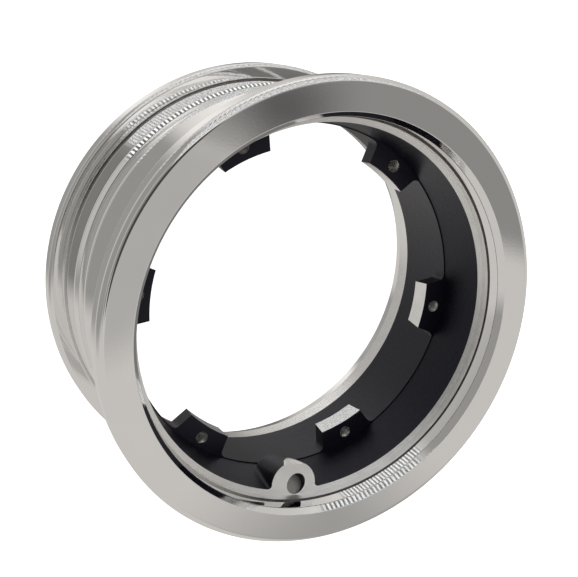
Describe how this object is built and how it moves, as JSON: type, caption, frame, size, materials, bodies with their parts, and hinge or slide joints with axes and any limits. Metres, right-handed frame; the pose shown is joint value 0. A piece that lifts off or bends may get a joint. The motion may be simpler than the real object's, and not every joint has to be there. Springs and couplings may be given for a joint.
{
  "type": "scooter wheel rim",
  "caption": "Cast aluminium rim with two flanges, humped bead seats, a drop centre, inner bolt lugs and a valve ear.",
  "frame": {"origin": "centre of the rear flange's face, on the axle line, where the rim rests when it lies down", "axes": "+Z along the axle line, out of the front face; one bolt lug lies on +X"},
  "size_m": [0.178, 0.178, 0.081],
  "materials": {
    "polished_aluminium": "polished"
  },
  "bodies": {
    "root": {"rim": "polished_aluminium"}
  },
  "joints": []
}
